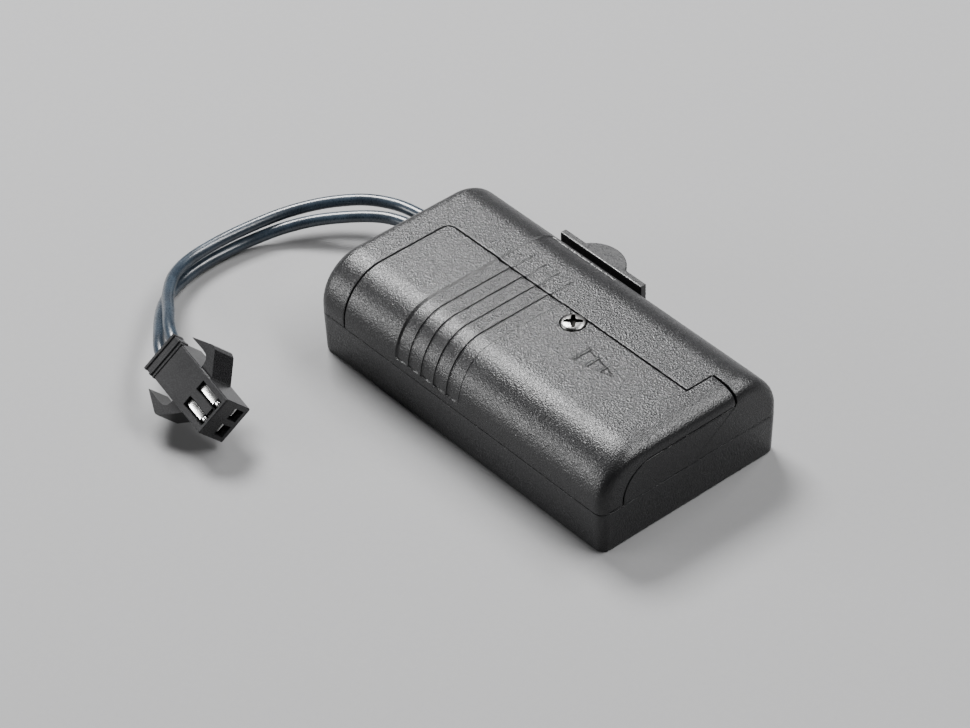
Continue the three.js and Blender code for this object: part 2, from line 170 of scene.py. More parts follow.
# ---- shader helpers ----
class Nodes:
    """Short names for building one material's node tree."""

    def __init__(self, name):
        self.material = bpy.data.materials.new(name)
        self.material.use_nodes = True
        self.tree = self.material.node_tree
        self.shader = self.tree.nodes["Principled BSDF"]
        self.place = self.tree.nodes.new("ShaderNodeTexCoord").outputs["Object"]

    def add(self, kind, inputs=None, **settings):
        node = self.tree.nodes.new("ShaderNode" + kind)
        for key, value in settings.items():
            setattr(node, key, value)
        for key, value in (inputs or {}).items():
            self.set(node, key, value)
        return node

    def set(self, node, key, value):
        if isinstance(value, bpy.types.NodeSocket):
            self.tree.links.new(value, node.inputs[key])
        else:
            node.inputs[key].default_value = value

    def noise(self, size_mm, detail=2.0, rough=0.5, vector=None):
        inputs = {"Scale": 1.0 / (size_mm * MM), "Detail": detail, "Roughness": rough}
        inputs["Vector"] = vector or self.place
        return self.add("TexNoise", inputs).outputs["Fac"]

    def ramp(self, value, low, high, to_low=0.0, to_high=1.0):
        inputs = {"Value": value, "From Min": low, "From Max": high, "To Min": to_low, "To Max": to_high}
        return self.add("MapRange", inputs).outputs["Result"]

    def math(self, operation, a, b):
        return self.add("Math", {0: a, 1: b}, operation=operation).outputs[0]

    def mix_colour(self, amount, a, b):
        node = self.add("Mix", data_type="RGBA")
        self.set(node, 0, amount)
        self.set(node, 6, a)
        self.set(node, 7, b)
        return node.outputs[2]

    def bump(self, height, depth_mm, strength=1.0):
        inputs = {"Height": height, "Distance": depth_mm * MM, "Strength": strength}
        return self.add("Bump", inputs).outputs["Normal"]

    def out(self, **values):
        for key, value in values.items():
            self.set(self.shader, key.replace("_", " "), value)
        return self.material


def shade(colour, factor):
    """A colour made lighter or darker by one factor."""
    return tuple(c * factor for c in colour[:3]) + (1.0,)


def textured_plastic(name, base, grain_mm, depth_mm, rough, glint, shine=0.37):
    """Black moulded plastic with a fine spark-eroded skin, whose smoother facets glitter in the light. The
    facets are also painted lighter: partly the skin's grain tone, partly a painted glint.
    """
    n = Nodes(name)
    grain = n.noise(grain_mm, 1.0, 0.5)
    pit_scale = 1.0 / (grain_mm * 1.6 * MM)
    pits = n.add("TexVoronoi", {"Vector": n.place, "Scale": pit_scale}).outputs["Distance"]
    broad = n.noise(9.0, 3.0, 0.55)
    flow = n.noise(2.2, 2.0, 0.5)
    height = n.math("ADD", grain, n.math("MULTIPLY", pits, 0.5))
    facet = n.ramp(grain, 0.42, 0.66)
    dullness = n.ramp(broad, 0.3, 0.7, rough - 0.03, rough + 0.03)
    roughness = n.math("SUBTRACT", dullness, n.math("MULTIPLY", facet, glint))
    body = n.mix_colour(n.ramp(flow, 0.35, 0.7), base, shade(base, 1.2))
    # Lighter colour on the smoother facets: the skin's grain tone plus a painted glint that shows even in
    # shade.
    tint = n.mix_colour(facet, body, shade(base, 2.4))
    return n.out(Base_Color=tint, Roughness=roughness, IOR=1.5, Specular_IOR_Level=shine,
                 Normal=n.bump(height, depth_mm))


def metal(name, base, rough, patchiness, grain_mm, depth_mm, streak=1.0):
    """Plated or brushed metal: fine tooling lines along one way, broken up by patches of dullness."""
    n = Nodes(name)
    stretched = n.add("Mapping", {"Vector": n.place, "Scale": (1.0, streak, 1.0)}).outputs["Vector"]
    lines = n.noise(grain_mm, 4.0, 0.6, stretched)
    patches = n.noise(1.6, 3.0, 0.6)
    roughness = n.ramp(patches, 0.3, 0.75, rough - patchiness, rough + patchiness)
    tint = n.mix_colour(n.ramp(patches, 0.4, 0.8), base, shade(base, 0.8))
    return n.out(Base_Color=tint, Roughness=roughness, Metallic=1.0, Normal=n.bump(lines, depth_mm))


def wire_pvc(name):
    """Shiny soft PVC: near black with a blue cast, faint die lines and small waviness."""
    n = Nodes(name)
    wave = n.noise(2.6, 2.0, 0.5)
    fine = n.noise(0.18, 3.0, 0.6)
    height = n.math("ADD", wave, n.math("MULTIPLY", fine, 0.08))
    tint = n.mix_colour(n.ramp(wave, 0.35, 0.7), (0.012, 0.018, 0.026, 1), (0.022, 0.033, 0.046, 1))
    roughness = n.ramp(fine, 0.3, 0.8, 0.24, 0.36)
    return n.out(Base_Color=tint, Roughness=roughness, IOR=1.5, Specular_IOR_Level=0.6,
                 Normal=n.bump(height, 0.05, 0.6))


def cell_sleeve(name):
    """Plain shrink sleeve of a cell, with a paler band at one end and faint print-roller grain."""
    n = Nodes(name)
    along = n.add("SeparateXYZ", {"Vector": n.place}).outputs["X"]
    band = n.ramp(along, 11.0 * MM, 11.3 * MM)
    fine = n.noise(0.5, 3.0, 0.6)
    scuff = n.noise(3.0, 5.0, 0.7)
    body = n.mix_colour(n.ramp(scuff, 0.4, 0.75), (0.05, 0.13, 0.16, 1), (0.07, 0.17, 0.2, 1))
    tint = n.mix_colour(band, body, (0.45, 0.47, 0.46, 1))
    return n.out(Base_Color=tint, Roughness=n.ramp(scuff, 0.3, 0.7, 0.25, 0.42), Metallic=0.15,
                 Coat_Weight=0.4, Coat_Roughness=0.15, Normal=n.bump(fine, 0.01, 0.4))


CASE_BLACK = (0.007, 0.007, 0.0074, 1.0)
TRAY_BLACK = (0.0085, 0.0085, 0.009, 1)
CLIP_BLACK = (0.013, 0.013, 0.0135, 1)
PLUG_BLACK = (0.01, 0.01, 0.0105, 1)
SCREW_STEEL = (0.24, 0.235, 0.23, 1)
# Near-black steel for the screw's cross recess: painted shade in the recess, not the screw's own colour.
PAINTED_SHADE_STEEL = (0.016, 0.015, 0.014, 1)
SPRING_STEEL = (0.6, 0.6, 0.6, 1)
TIN = (0.83, 0.83, 0.82, 1)
SOLDER = (0.7, 0.71, 0.72, 1)

case_skin = textured_plastic("case_plastic", CASE_BLACK, 0.155, depth_mm=0.05, rough=0.42, glint=0.27)
tray_skin = textured_plastic("tray_plastic", TRAY_BLACK, 0.155, depth_mm=0.045, rough=0.44, glint=0.24)
clip_skin = textured_plastic("clip_plastic", CLIP_BLACK, 0.2, depth_mm=0.012, rough=0.4, glint=0.2)
plug_skin = textured_plastic("plug_plastic", PLUG_BLACK, 0.16, depth_mm=0.003, rough=0.24, glint=0.03,
                             shine=0.27)
screw_metal = metal("screw_steel", SCREW_STEEL, 0.3, 0.08, grain_mm=0.3, depth_mm=0.02)
painted_shade_metal = metal("screw_recess_painted_shade", PAINTED_SHADE_STEEL, 0.6, 0.1, grain_mm=0.1, depth_mm=0.01)
spring_metal = metal("spring_steel", SPRING_STEEL, 0.24, 0.06, grain_mm=0.1, depth_mm=0.005, streak=4.0)
tin_metal = metal("tin_plate", TIN, 0.24, 0.08, grain_mm=0.14, depth_mm=0.006, streak=6.0)
solder_metal = metal("solder", SOLDER, 0.3, 0.1, grain_mm=0.3, depth_mm=0.02)
wire_skin = wire_pvc("wire_insulation")
sleeve_skin = cell_sleeve("cell_jacket")


# ---- mesh helpers ----
def new_object(name, points, faces, material, shift=True):
    """A mesh object from points in millimetres; shift moves box-centred points into the frame."""
    offset = BOX_SHIFT if shift else 0.0
    mesh = bpy.data.meshes.new(name)
    mesh.from_pydata([(x * MM, (y + offset) * MM, z * MM) for x, y, z in points], [], faces)
    mesh.materials.append(material)
    piece = bpy.data.objects.new(name, mesh)
    bpy.context.collection.objects.link(piece)
    return piece


def tidy(piece, merge_mm=0.002, smooth_angle=35):
    """Merges coincident points, makes the faces look outward and shades them by angle."""
    form = bmesh.new()
    form.from_mesh(piece.data)
    bmesh.ops.remove_doubles(form, verts=form.verts, dist=merge_mm * MM)
    bmesh.ops.dissolve_degenerate(form, edges=form.edges, dist=merge_mm * MM * 0.5)
    bmesh.ops.recalc_face_normals(form, faces=form.faces)
    limit = math.radians(smooth_angle)
    for face in form.faces:
        face.smooth = True
    for edge in form.edges:
        edge.smooth = len(edge.link_faces) == 2 and edge.calc_face_angle(0) < limit
    form.to_mesh(piece.data)
    form.free()
    return piece


def apply_modifiers(piece):
    """Turns a piece's modifiers into plain mesh."""
    graph = bpy.context.evaluated_depsgraph_get()
    baked = bpy.data.meshes.new_from_object(piece.evaluated_get(graph))
    old = piece.data
    piece.modifiers.clear()
    piece.data = baked
    bpy.data.meshes.remove(old)
    return piece


def cut(piece, cutters, operation="DIFFERENCE"):
    """Cuts (or joins) other solids into a piece and removes them."""
    for tool in cutters:
        tidy(tool)
        change = piece.modifiers.new("cut", "BOOLEAN")
        change.operation = operation
        change.object = tool
        change.solver = "EXACT"
        change.material_mode = "TRANSFER"
        bpy.context.view_layer.update()
        apply_modifiers(piece)
        bpy.data.objects.remove(tool)
    return piece


def bevel(piece, width_mm, angle=30, segments=2):
    """Rounds every edge that is sharper than the angle."""
    change = piece.modifiers.new("bevel", "BEVEL")
    change.width = width_mm * MM
    change.segments = segments
    change.limit_method = "ANGLE"
    change.angle_limit = math.radians(angle)
    change.harden_normals = False
    bpy.context.view_layer.update()
    return apply_modifiers(piece)


def join(pieces):
    """One object out of several closed solids."""
    target = pieces[0]
    form = bmesh.new()
    for piece in pieces:
        part = piece.data.copy()
        part.transform(piece.matrix_world)
        form.from_mesh(part)
        bpy.data.meshes.remove(part)
    for piece in pieces[1:]:
        bpy.data.objects.remove(piece)
    target.matrix_world = Matrix.Identity(4)
    form.to_mesh(target.data)
    form.free()
    return target


def box_piece(name, x0, x1, y0, y1, z0, z1, material, shift=True):
    """A plain block between two corners."""
    points = [(x, y, z) for x in (x0, x1) for y in (y0, y1) for z in (z0, z1)]
    faces = [(0, 1, 3, 2), (4, 6, 7, 5), (0, 4, 5, 1), (2, 3, 7, 6), (0, 2, 6, 4), (1, 5, 7, 3)]
    return new_object(name, points, faces, material, shift)


def prism_piece(name, outline, z0, z1, material, shift=True):
    """A plan outline, anticlockwise, pushed up from z0 to z1."""
    count = len(outline)
    points = [(x, y, z0) for x, y in outline] + [(x, y, z1) for x, y in outline]
    faces = [tuple(reversed(range(count))), tuple(range(count, 2 * count))]
    faces += [(i, (i + 1) % count, count + (i + 1) % count, count + i) for i in range(count)]
    return new_object(name, points, faces, material, shift)


def turned_piece(name, profile, material, sides=48, axis="Z", at=(0, 0, 0), shift=True):
    """A closed lathe form: profile is (radius, height) pairs that start and end on the axis."""
    points, faces, rings = [], [], []
    for radius, height in profile:
        if radius < 1e-6:
            rings.append([len(points)])
            points.append((0, 0, height))
            continue
        rings.append(list(range(len(points), len(points) + sides)))
        for i in range(sides):
            angle = 2 * math.pi * i / sides
            points.append((radius * math.cos(angle), radius * math.sin(angle), height))
    for low, high in zip(rings, rings[1:]):
        for i in range(sides):
            j = (i + 1) % sides
            if len(low) == 1:
                faces.append((low[0], high[j], high[i]))
            elif len(high) == 1:
                faces.append((low[i], low[j], high[0]))
            else:
                faces.append((low[i], low[j], high[j], high[i]))
    if axis == "X":
        points = [(z, x, y) for x, y, z in points]
    points = [(x + at[0], y + at[1], z + at[2]) for x, y, z in points]
    return new_object(name, points, faces, material, shift)


def arc(centre, radius, start, end, steps):
    """Points of an arc in the plan, angles in degrees."""
    turn = [math.radians(start + (end - start) * i / steps) for i in range(steps + 1)]
    return [(centre[0] + radius * math.cos(a), centre[1] + radius * math.sin(a)) for a in turn]


def lerp(a, b, t):
    """The value a share t of the way from a to b."""
    return a + (b - a) * t


def spread(start, end, count):
    """count values from start to end, the end left out."""
    return [lerp(start, end, i / count) for i in range(count)]


# ---- the case's outer surface: a grid of stations along the box and lines round its section ----
def round_inset(distance, run, drop, fullness=2.0):
    """How far the surface has fallen at this distance into a rounded end."""
    reach = min(max(distance / run, 0.0), 1.0)
    return drop * (1 - (1 - reach ** fullness) ** (1 / fullness))


def round_lean(distance, run, drop, fullness=2.0):
    """The facing of a rounded end at this distance into it: (outward, along the box)."""
    reach = min(max(distance / run, 0.0), 1.0)
    power = fullness - 1
    along = reach ** power / run
    out = (1 - reach ** fullness) ** (power / fullness) / drop
    return Vector((out, along)).normalized()


def station_lines():
    """Stations along the box, from the middle of the cable-end face to the middle of the other end face.

    Each is (kind, x, amount). On the end faces amount is the section's size, from 0 at its centre to 1 at
    its edge; on the body it is unused.
    """
    g = COVER_GAP / 2
    stations = [("cable_face", -HALF_L, k) for k in (0.0, 0.12, 0.3, 0.5, 0.7, 0.86)]
    for a in range(0, 90, 9):
        stations.append(("body", -HALF_L + CABLE_ROUND * (1 - math.cos(math.radians(a))), None))
    xs = [-HALF_L + CABLE_ROUND, -23.5, -22.3, COVER_START - g - 0.3, COVER_START - g, COVER_START + g]
    xs += [COVER_START + g + 0.22, -20.55, -20.2, -19.8, -19.2, -18, -16.5, -15, -13.5, GRIP_FIRST - 0.5]
    for i in range(GRIP_LINES):
        line = GRIP_FIRST + i * GRIP_PITCH
        xs += [line - 0.1, line - 0.03, line + 0.04, line + 0.12, line + 0.24, line + 0.36, line + 0.44]
        if i < GRIP_LINES - 1:
            xs += [line + 0.9, line + 1.5, line + GRIP_PITCH - 0.35]
    xs += [1.4, 2.2, 3.0, 3.9, 4.8, 5.6, 6.4]
    xs += spread(7.5, TAB_START - 0.6, 12)
    xs += [TAB_START - 0.6, TAB_START - g, TAB_START + g]
    stations += [("body", x, None) for x in xs]
    for a in (14, 24, 34, 44, 52, 60, 67, 74, 80, 85, 88, 90):
        stations.append(("body", HALF_L - END_TOP_RUN * (1 - math.sin(math.radians(a))), None))
    stations += [("rim", HALF_L, 1.0)]
    stations += [("end_face", HALF_L, k) for k in (1.0, 0.985, 0.95, 0.86, 0.7, 0.5, 0.3, 0.12, 0.0)]
    return stations


def section_lines():
    """Lines round the upper section from the cover's side seam, over the top, to the clip's side seam."""
    g = COVER_GAP / 2
    tab = TAB_GAP / 2
    seam = SEAM_HEIGHT + SEAM_GAP / 2
    lines = [("side-", seam), ("side-", seam + 0.3)]
    angles = [0, GRIP_FOOT_ANGLE - 0.5, GRIP_FOOT_ANGLE + 0.7, 8, 12] + list(range(16, 90, 4))
    lines += [("arc-", a) for a in angles]
    lines += [("flat-", t) for t in (0.0, 0.12, 0.26, 0.4, 0.54, 0.68, 0.8)]
    lines += [("top", y) for y in (FLAT_START, 2.05, 2.4, 2.7)]
    lines += [("top", COVER_EDGE + past) for past in (-g, g, g + 0.25)]
    lines += [("top", y) for y in (4.0, 5.0, RIB_END - 0.05, RIB_END + 0.1, TAB_EDGE - tab, TAB_EDGE + tab)]
    lines += [("arc+", a) for a in (90, 86, 82, 78, 74, 70, 66, 62, 58, GRIP_SHOULDER_ANGLE + 0.7)]
    lines += [("arc+", a) for a in (GRIP_SHOULDER_ANGLE - 0.5, 50, 46, 42, 38, 34, 29, 24, 19, 14, 9, 4, 0)]
    lines += [("side+", seam + 0.3), ("side+", seam)]
    return lines


def section_point(line, x):
    """(point, section normal) of one line of the section at x."""
    kind, value = line
    cable = round_inset(-HALF_L + CABLE_ROUND - x, CABLE_ROUND, CABLE_ROUND)
    side = round_inset(x - (HALF_L - END_SIDE_ROUND), END_SIDE_ROUND, END_SIDE_ROUND)
    top = round_inset(x - (HALF_L - END_TOP_RUN), END_TOP_RUN, END_TOP_DROP, END_FULLNESS)
    left = kind.endswith("-")
    tight = lerp(0.0, 1.2 if left else 2.4, top / END_TOP_DROP)
    radius = SHOULDER - cable - tight
    half = HALF_W - cable - side
    height = BOX_HEIGHT - cable - top
    sign = -1 if left else 1
    centre_y = sign * (half - radius)
    if kind.startswith("side"):
        return (sign * half, value), (sign, 0.0)
    if kind.startswith("arc"):
        angle = math.radians(value)
        normal = (sign * math.cos(angle), math.sin(angle))
        return (centre_y + radius * normal[0], height - radius + radius * normal[1]), normal
    y = value if kind == "top" else lerp(centre_y, FLAT_START, value)
    return (y, height), (0.0, 1.0)


def lip_point(line, section, gap):
    """Where the cover's end rim meets the fixed end panel, on the line's own angle round the section."""
    kind, value = line
    side, height = LIP_SIDE - gap, LIP_HEIGHT - gap
    radius = LIP_ROUND - gap
    if kind == "side-":
        return -side, value
    if kind == "arc-":
        angle = math.radians(value)
        return -side + radius - radius * math.cos(angle), height - radius + radius * math.sin(angle)
    if kind == "flat-":
        return lerp(-side + radius, FLAT_START, value), height
    if kind == "top" and value < TAB_EDGE:
        return value, height
    y, z = section
    seam = SEAM_HEIGHT + SEAM_GAP / 2
    return y * (0.985 - gap * 0.01), lerp(seam, z, 0.97)


def end_tilt(x, section_normal):
    """How far the surface leans to face along X at this station: (x part, section part)."""
    cable = round_lean(-HALF_L + CABLE_ROUND - x, CABLE_ROUND, CABLE_ROUND)
    if cable[1] > 0:
        return -cable[1], cable[0]
    flank = round_lean(x - HALF_L + END_SIDE_ROUND, END_SIDE_ROUND, END_SIDE_ROUND)
    top = round_lean(x - HALF_L + END_TOP_RUN, END_TOP_RUN, END_TOP_DROP, END_FULLNESS)
    both = flank.lerp(top, section_normal[1] ** 2).normalized()
    return both[1], both[0]


def cover_grip(step, past):
    """Depth of the cover's grip zone at a distance past one of its lines: a steep drop, then a slow rise."""
    if step == GRIP_LINES - 1:
        return 0.1 if past < GRIP_EDGE else 0.0
    before = 0.0 if step == 0 else GRIP_REST
    if past < 0.0:
        return before
    if past < GRIP_RAMP:
        lip = 0.0 if step == 0 else 0.12
        return lerp(before + lip, GRIP_DEPTH, past / GRIP_RAMP)
    return lerp(GRIP_DEPTH, GRIP_REST, (past - GRIP_RAMP) / (GRIP_PITCH - GRIP_RAMP))


def shell_grip(step, past, line):
    """Depth of the fixed shell's part of the zone: a flat floor with low ribs that carry on the lines."""
    if step == GRIP_LINES - 1:
        return GRIP_SHELL_DEPTH if past < GRIP_EDGE else 0.0
    if step == 0 and past < GRIP_RAMP:
        return lerp(0.0, GRIP_SHELL_DEPTH, past / GRIP_RAMP)
    rib = 0 < step and line[0] == "top" and line[1] < RIB_END and 0.1 < past < GRIP_RAMP
    return RIB_DEPTH if rib else GRIP_SHELL_DEPTH


def grip_depth(x, line, on_cover):
    """How deep the grip zone is cut below the case's surface."""
    kind, value = line
    last = GRIP_FIRST + GRIP_PITCH * (GRIP_LINES - 1)
    if x <= GRIP_FIRST - GRIP_LEAD or x >= last + GRIP_RAMP:
        return 0.0
    if kind.startswith("side") or kind == "arc-" and value < GRIP_FOOT_ANGLE:
        return 0.0
    if kind == "arc+" and value < GRIP_SHOULDER_ANGLE:
        return 0.0
    step = min(int((x - GRIP_FIRST + GRIP_LEAD) / GRIP_PITCH), GRIP_LINES - 1)
    past = x - GRIP_FIRST - step * GRIP_PITCH
    return cover_grip(step, past) if on_cover else shell_grip(step, past, line)


def sweep(x, line):
    """The grip lines lean a little towards the tab end as they run down the side."""
    kind, value = line
    if kind == "arc-":
        down = math.cos(math.radians(value)) ** 2
    else:
        down = 1.0 if kind == "side-" else 0.0
    rise = min(max((x + 16) / 3.5, 0.0), 1.0)
    fall = min(max((10 - x) / 8, 0.0), 1.0)
    return GRIP_SWEEP * down * rise * rise * (3 - 2 * rise) * fall * fall * (3 - 2 * fall)


def round_the_corner(x, y):
    """Bends the grid so that the cover's inner corner is an arc instead of a right angle."""
    u = x - COVER_START
    v = COVER_EDGE - y
    radius = COVER_CORNER
    along = u - v
    depth = min(u, v)
    if abs(along) >= radius or depth < -0.6 or depth > radius:
        return x, y
    angle = math.radians(225 + 45 * along / radius)
    inner = radius - depth
    target = (radius - inner * -math.cos(angle), radius - inner * -math.sin(angle))
    weight = math.exp(-abs(depth) / 0.5) if depth > 0.1 else 1.0
    moved = (lerp(u, target[0], weight), lerp(v, target[1], weight))
    return COVER_START + moved[0], COVER_EDGE - moved[1]


def case_grid():
    """Points and normals of the whole upper surface, station by station and line by line."""
    stations = station_lines()
    lines = section_lines()
    seam = SEAM_HEIGHT + SEAM_GAP / 2
    points, normals = [], []
    for kind, x, amount in stations:
        row, facing = [], []
        for line in lines:
            section, section_normal = section_point(line, x)
            if kind == "body":
                lean, upright = end_tilt(x, section_normal)
                across, up = section_normal
                normal = Vector((lean, across * upright, up * upright)).normalized()
                depth = grip_depth(x, line, line_side(line) < COVER_EDGE)
                px, py = x, section[0]
                if line[0] in ("top", "flat-"):
                    px, py = round_the_corner(px, py)
                place = Vector((px + sweep(x, line), py, section[1])) - normal * depth
            elif kind == "cable_face":
                normal = Vector((-1, 0, 0))
                place = Vector((x, section[0] * amount, lerp(seam, section[1], amount)))
            else:
                normal = Vector((1, 0, 0))
                y, z = lip_point(line, section, 0.0 if kind == "rim" else COVER_GAP)
                place = Vector((x, y * amount, lerp(seam, z, amount)))
            row.append(place)
            facing.append(normal)
        points.append(row)
        normals.append(facing)
    return stations, lines, points, normals


def line_side(line):
    """Which side of the top a section line is on: its y on the flat, or beyond it on the shoulders."""
    kind, value = line
    if kind == "top":
        return value
    return 99.0 if kind.endswith("+") else -99.0


def cell_owner(stations, lines, i, j):
    """Whether a grid cell belongs to the cover, to the fixed shell or to the gap between them."""
    kind = stations[i][0]
    x = (stations[i][1] + stations[i + 1][1]) / 2
    y = (line_side(lines[j]) + line_side(lines[j + 1])) / 2
    gap = COVER_GAP / 4
    if kind == "rim":
        return "shell" if y > TAB_EDGE + 0.01 else "gap"
    if kind in ("cable_face", "end_face"):
        return "shell"
    edge = TAB_EDGE if x > TAB_START else COVER_EDGE
    if abs(x - TAB_START) < 2 * gap and COVER_EDGE < y < TAB_EDGE:
        return "gap"
    if abs(x - COVER_START) < 2 * gap and y < COVER_EDGE + gap:
        return "gap"
    if x < COVER_START or y > edge + gap:
        return "shell"
    return "cover" if y < edge - gap else "gap"


def grid_solid(name, points, normals, owned, thickness, material):
    """A closed wall under the owned cells of a grid, with every free edge rounded."""
    rows, columns = len(points), len(points[0])

    def has(i, j):
        return 0 <= i < rows - 1 and 0 <= j < columns - 1 and owned[i][j]

    def unit(i, j, di, dj):
        a = points[max(i - di, 0)][max(j - dj, 0)]
        b = points[min(i + di, rows - 1)][min(j + dj, columns - 1)]
        step = b - a
        return step.normalized() if step.length > 1e-6 else Vector((0, 0, 0))

    def outward(i, j):
        ahead = has(i, j) + has(i, j - 1)
        behind = has(i - 1, j) + has(i - 1, j - 1)
        right = has(i, j) + has(i - 1, j)
        left = has(i, j - 1) + has(i - 1, j - 1)
        along = (behind > ahead) - (ahead > behind)
        across = (left > right) - (right > left)
        way = unit(i, j, 1, 0) * along + unit(i, j, 0, 1) * across
        place = points[i][j]
        reach = max(abs(place.x - COVER_START), abs(place.y - COVER_EDGE))
        return way.normalized() if way.length > 1.2 and reach < 1.4 else way

    vertices, faces = [], []
    columns_of = {}

    def column(i, j):
        """Vertices of one node from the outer surface, over the rounded rim, down to the inner surface."""
        if (i, j) in columns_of:
            return columns_of[(i, j)]
        place, normal = points[i][j], normals[i][j]
        around = [has(i, j), has(i - 1, j), has(i, j - 1), has(i - 1, j - 1)]
        stack = []
        if all(around):
            steps = [(0.0, 0.0), None, None, None, (0.0, thickness)]
        else:
            r = EDGE_ROUND
            steps = [(-r, 0.0), (-0.62 * r, 0.08 * r), (-0.29 * r, 0.29 * r), (0.0, r), (0.0, thickness)]
        way = Vector((0, 0, 0)) if all(around) else outward(i, j)
        for step in steps:
            if step is None:
                stack.append(None)
                continue
            stack.append(len(vertices))
            vertices.append(place + way * step[0] - normal * step[1])
        columns_of[(i, j)] = stack
        return stack

    for i in range(rows - 1):
        for j in range(columns - 1):
            if not has(i, j):
                continue
            corners = [column(i, j), column(i + 1, j), column(i + 1, j + 1), column(i, j + 1)]
            faces.append(tuple(c[0] for c in corners))
            faces.append(tuple(c[4] for c in reversed(corners)))
            edges = [((i, j), (i + 1, j), (i, j - 1)), ((i + 1, j), (i + 1, j + 1), (i + 1, j)),
                     ((i + 1, j + 1), (i, j + 1), (i, j + 1)), ((i, j + 1), (i, j), (i - 1, j))]
            for a, b, beyond in edges:
                if has(*beyond):
                    continue
                one, two = column(*a), column(*b)
                for k in range(4):
                    faces.append((one[k], one[k + 1], two[k + 1], two[k]))
    return tidy(new_object(name, vertices, faces, material))


def build_case():
    """Cover and shell, cut from one grid so that their surfaces run on across the gap."""
    stations, lines, points, normals = case_grid()
    owners = []
    for i in range(len(stations) - 1):
        owners.append([cell_owner(stations, lines, i, j) for j in range(len(lines) - 1)])

    def owned(name):
        return [[owner == name for owner in row] for row in owners]

    cover = grid_solid("cover_skin", points, normals, owned("cover"), WALL, case_skin)
    shell = grid_solid("shell_skin", points, normals, owned("shell"), WALL, case_skin)
    return cover, shell


cover, shell = build_case()


def screw_bore(name):
    """Cutter for the round hole that the screw's head stands in."""
    profile = [(0, 11), (SCREW_HOLE, 11), (SCREW_HOLE, 14), (0, 14)]
    return turned_piece(name, profile, case_skin, 64, at=(SCREW_X, SCREW_Y, 0))


def finish_cover(piece):
    """Screw hole with its seat, the rails under the edge, and the arrow on top."""
    cut(piece, [screw_bore("hole")])
    tidy(piece)
    underside = BOX_HEIGHT - WALL
    low = RAIL_LOW
    seat_top = SCREW_SEAT - 0.02
    seat = [(0, low), (2.4, low), (2.4, underside), (SCREW_HEAD + 0.3, seat_top), (0, seat_top)]
    ring = turned_piece("seat", seat, case_skin, 48, at=(SCREW_X, SCREW_Y, 0))
    ledge, web_top = underside - 0.3, underside + 0.1
    rail = box_piece("rail", RAIL_START, RAIL_END, 1.6, COVER_EDGE + 1.4, low, ledge, case_skin)
    web = box_piece("web", RAIL_START, RAIL_END, 1.6, COVER_EDGE - 0.15, low, web_top, case_skin)
    nose = box_piece("nose", COVER_START - 1.7, NOSE_END, *NOSE_SIDES, low, ledge, case_skin)
    nose_web = box_piece("nose_web", COVER_START + 0.15, NOSE_END, *NOSE_SIDES, low, web_top, case_skin)
    cut(web, [screw_bore("slot")])
    extras = [bevel(p, 0.1) for p in (rail, web, nose, nose_web)] + [ring]
    for extra in extras:
        tidy(extra, 0.001, 20)
    return join([piece] + extras + arrow_bars())


def raised_pad(name, x0, x1, half_0, half_1, rise):
    """A low pad on the cover's top: long flanks towards -X and +Y, short ones on the other two sides."""
    back, front, near = 0.34, 0.18, 0.16
    far = min(0.3, half_1 * 0.9)
    near_0, near_1 = ARROW_MIDDLE - half_0, ARROW_MIDDLE - half_1
    far_0, far_1 = ARROW_MIDDLE + half_0, ARROW_MIDDLE + half_1
    base = [(x0, near_0), (x1, near_1), (x1, far_1), (x0, far_0)]
    crown = [(x0 + back, near_0 + near), (x1 - front, near_1 + near),
             (x1 - front, far_1 - far), (x0 + back, far_0 - far)]
    sunk = 0.3
    points = [(x, y, BOX_HEIGHT - sunk) for x, y in base]
    points += [(x, y, BOX_HEIGHT) for x, y in base]
    points += [(x, y, BOX_HEIGHT + rise) for x, y in crown]
    faces = [(3, 2, 1, 0), (8, 9, 10, 11)]
    for low in (0, 4):
        faces += [(low + k, low + (k + 1) % 4, low + 4 + (k + 1) % 4, low + 4 + k) for k in range(4)]
    return tidy(new_object(name, points, faces, case_skin), 0.001, 5)


def arrow_bars():
    """Raised arrow: three short bodies, each with a taller rim behind it, and a small tip."""
    pads = []
    for i, (x, half, end, end_half) in enumerate(ARROW_STEPS):
        pads.append(raised_pad(f"arrow_rim_{i}", x, x + ARROW_RIM_LENGTH, half, half, ARROW_RIM_RISE))
        start = x + ARROW_BODY_START
        width = half * ARROW_BODY_WIDTH
        pads.append(raised_pad(f"arrow_body_{i}", start, end, width, end_half, ARROW_BODY_RISE))
    start = ARROW_TIP - ARROW_TIP_LENGTH
    pads.append(raised_pad("arrow_tip", start, ARROW_TIP, 0.26, 0.24, ARROW_TIP_RISE))
    return pads


cover = finish_cover(cover)
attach(cover, "cover")
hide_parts("sliding_cover")
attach(shell, "case")
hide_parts("top_shell")


# ---- bottom tray ----
def tray_outline(inset):
    """Plan of the tray, anticlockwise, with its own corner radius at each end."""
    far = max(CABLE_ROUND - inset, 0.35)
    near = max(END_SIDE_ROUND - inset, 0.35)
    x, y = HALF_L - inset, HALF_W - inset
    outline = arc((x - near, -y + near), near, -90, 0, 8) + arc((x - near, y - near), near, 0, 90, 8)
    outline += arc((-x + far, y - far), far, 90, 180, 8) + arc((-x + far, -y + far), far, 180, 270, 8)
    return outline


